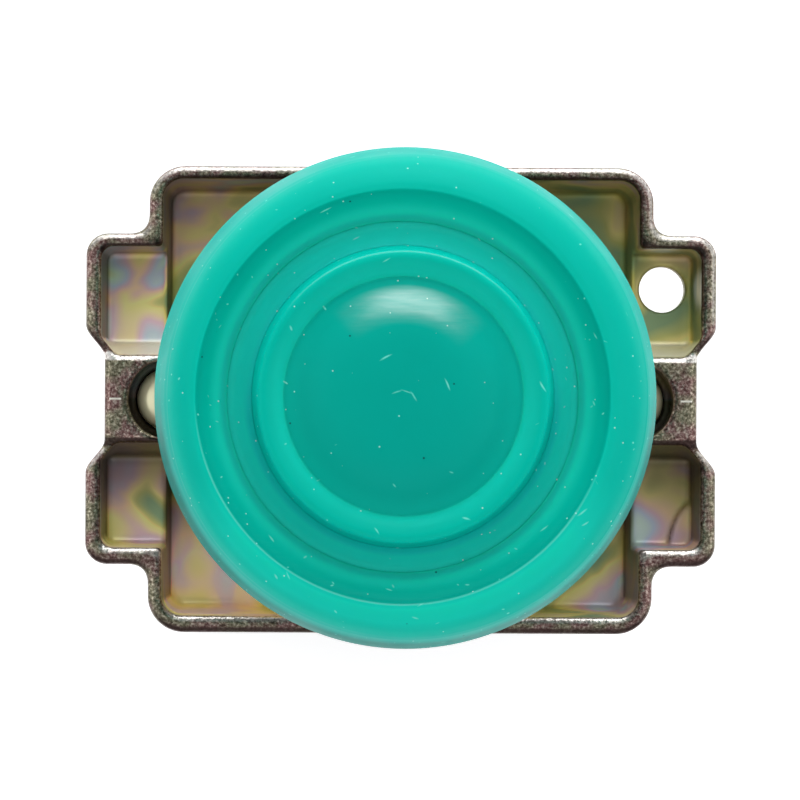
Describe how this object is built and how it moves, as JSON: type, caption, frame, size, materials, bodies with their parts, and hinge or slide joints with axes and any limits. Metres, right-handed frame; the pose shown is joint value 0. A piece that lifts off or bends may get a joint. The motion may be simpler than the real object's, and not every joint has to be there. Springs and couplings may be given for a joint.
{
  "type": "push button",
  "caption": "Booted industrial push button for a 22 mm panel hole, with a die-cast fixing collar and a screw-terminal contact block behind it.",
  "frame": {"origin": "centre of the panel hole, in the plane of the panel's front face, where the gasket seats", "axes": "+Z along the button's axis, out of the panel towards the operator; +X along the collar's long side; +Y up the panel, the side of the locating key"},
  "size_m": [0.04, 0.0306, 0.055],
  "materials": {
    "boot_silicone": "translucent turquoise silicone, satin",
    "bezel_chrome": "bright plated",
    "plated_body": "plated zinc casting",
    "gasket_rubber": "matt nitrile",
    "green_plastic": "moulded, satin",
    "nylon": "moulded, satin",
    "spring_steel": "bright wire",
    "zinc_casting": "tumbled die casting with an iridescent yellow conversion coat",
    "yellow_zinc": "yellow zinc plate",
    "black_plastic": "moulded, fine texture",
    "screw_steel": "clear zinc plate",
    "contact_brass": "stamped strip",
    "contact_silver": "silver alloy rivet"
  },
  "bodies": {
    "head": {"head_body": "plated_body", "bezel_ring": "bezel_chrome", "boot_skirt": "boot_silicone", "panel_gasket": "gasket_rubber", "return_spring": "spring_steel"},
    "button": {"boot_dome": "boot_silicone", "push_cap": "green_plastic", "push_stem": "nylon", "actuator_disc": "nylon", "retaining_clip": "spring_steel"},
    "collar": {"mounting_bracket": "zinc_casting", "block_housing": "black_plastic", "block_cover": "black_plastic", "block_screw": "screw_steel", "plunger_spring": "spring_steel", "fixed_contact_left": "contact_brass", "fixed_contact_right": "contact_brass", "fixed_tip_left": "contact_silver", "fixed_tip_right": "contact_silver"},
    "clamp_left": {"clamp_screw_left": "yellow_zinc"},
    "clamp_right": {"clamp_screw_right": "yellow_zinc"},
    "block_plunger": {"contact_plunger": "green_plastic", "bridge_spring": "spring_steel"},
    "moving_bridge": {"contact_bridge": "contact_brass", "bridge_tip_left": "contact_silver", "bridge_tip_right": "contact_silver"},
    "terminal_left": {"terminal_screw_left": "screw_steel", "terminal_washer_left": "screw_steel"},
    "terminal_right": {"terminal_screw_right": "screw_steel", "terminal_washer_right": "screw_steel"}
  },
  "joints": [
    {"name": "button_press", "type": "slide", "parent": "head", "child": "button", "axis": [0, 0, -1], "range_m": [0, 0.004], "stiffness_N_per_m": 600, "springref_m": -0.004, "deforming": ["return_spring"]},
    {"name": "collar_turn", "type": "hinge", "parent": "head", "child": "collar", "pos_m": [0, 0, 0], "axis": [0, 0, 1], "range_deg": [-36, 0]},
    {"name": "clamp_left_feed", "type": "slide", "parent": "collar", "child": "clamp_left", "axis": [0, 0, 1], "range_m": [0, 0.0056]},
    {"name": "clamp_right_feed", "type": "slide", "parent": "collar", "child": "clamp_right", "axis": [0, 0, 1], "range_m": [0, 0.0056]},
    {"name": "plunger_press", "type": "slide", "parent": "collar", "child": "block_plunger", "axis": [0, 0, -1], "range_m": [0, 0.004], "stiffness_N_per_m": 200, "springref_m": -0.004, "deforming": ["plunger_spring"]},
    {"name": "bridge_lag", "type": "slide", "parent": "block_plunger", "child": "moving_bridge", "axis": [0, 0, 1], "range_m": [0, 0.00184], "stiffness_N_per_m": 100, "springref_m": -0.003, "deforming": ["bridge_spring"]},
    {"name": "terminal_left_feed", "type": "slide", "parent": "collar", "child": "terminal_left", "axis": [0, 0, 1], "range_m": [0, 0.0042]},
    {"name": "terminal_right_feed", "type": "slide", "parent": "collar", "child": "terminal_right", "axis": [0, 0, 1], "range_m": [0, 0.0042]}
  ],
  "couplings": [
    {"joint": "plunger_press", "follows": "button_press", "ratio": 1},
    {"joint": "bridge_lag", "follows": "button_press", "ratio": 0.46}
  ]
}
